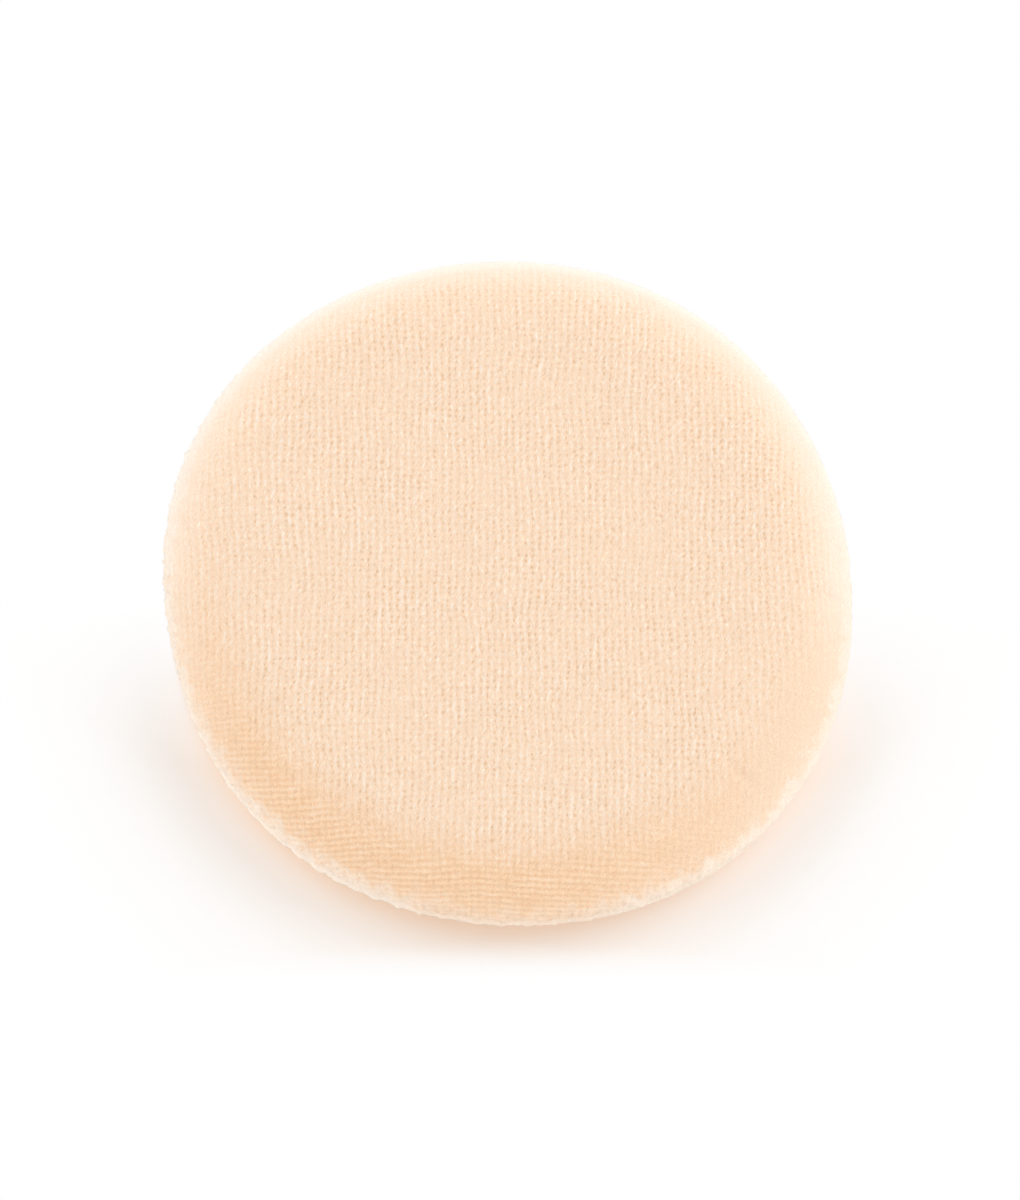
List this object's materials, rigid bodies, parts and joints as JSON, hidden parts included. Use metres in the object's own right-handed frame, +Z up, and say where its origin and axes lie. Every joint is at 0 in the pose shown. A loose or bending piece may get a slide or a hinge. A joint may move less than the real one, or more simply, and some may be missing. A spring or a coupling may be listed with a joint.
{
  "type": "powder puff",
  "caption": "Round padded velour powder puff with a flat powdering face, rounded edge, hidden edge seam and a satin finger ribbon across the back.",
  "frame": {"origin": "on the resting plane, under the middle of the round puff", "axes": "+Z up through the powdering face, X along the finger ribbon on the back"},
  "size_m": [0.08, 0.08, 0.016],
  "materials": {
    "front_velour": "short cut pile, peach",
    "back_velour": "short cut pile, peach",
    "foam": "open-cell foam, cream",
    "ribbon_satin": "satin weave, peach",
    "sewing_thread": "spun polyester, peach"
  },
  "bodies": {
    "puff": {"front_cover": "front_velour", "back_cover": "back_velour", "foam_core": "foam", "seam_needle_thread": "sewing_thread", "seam_bobbin_thread": "sewing_thread", "closing_thread": "sewing_thread"},
    "strap": {"finger_ribbon": "ribbon_satin"}
  },
  "joints": [
    {"name": "ribbon_lift", "type": "slide", "parent": "puff", "child": "strap", "axis": [0, 0, -1], "range_m": [0, 0.01], "stiffness_N_per_m": 20, "deforming": ["finger_ribbon"]}
  ]
}
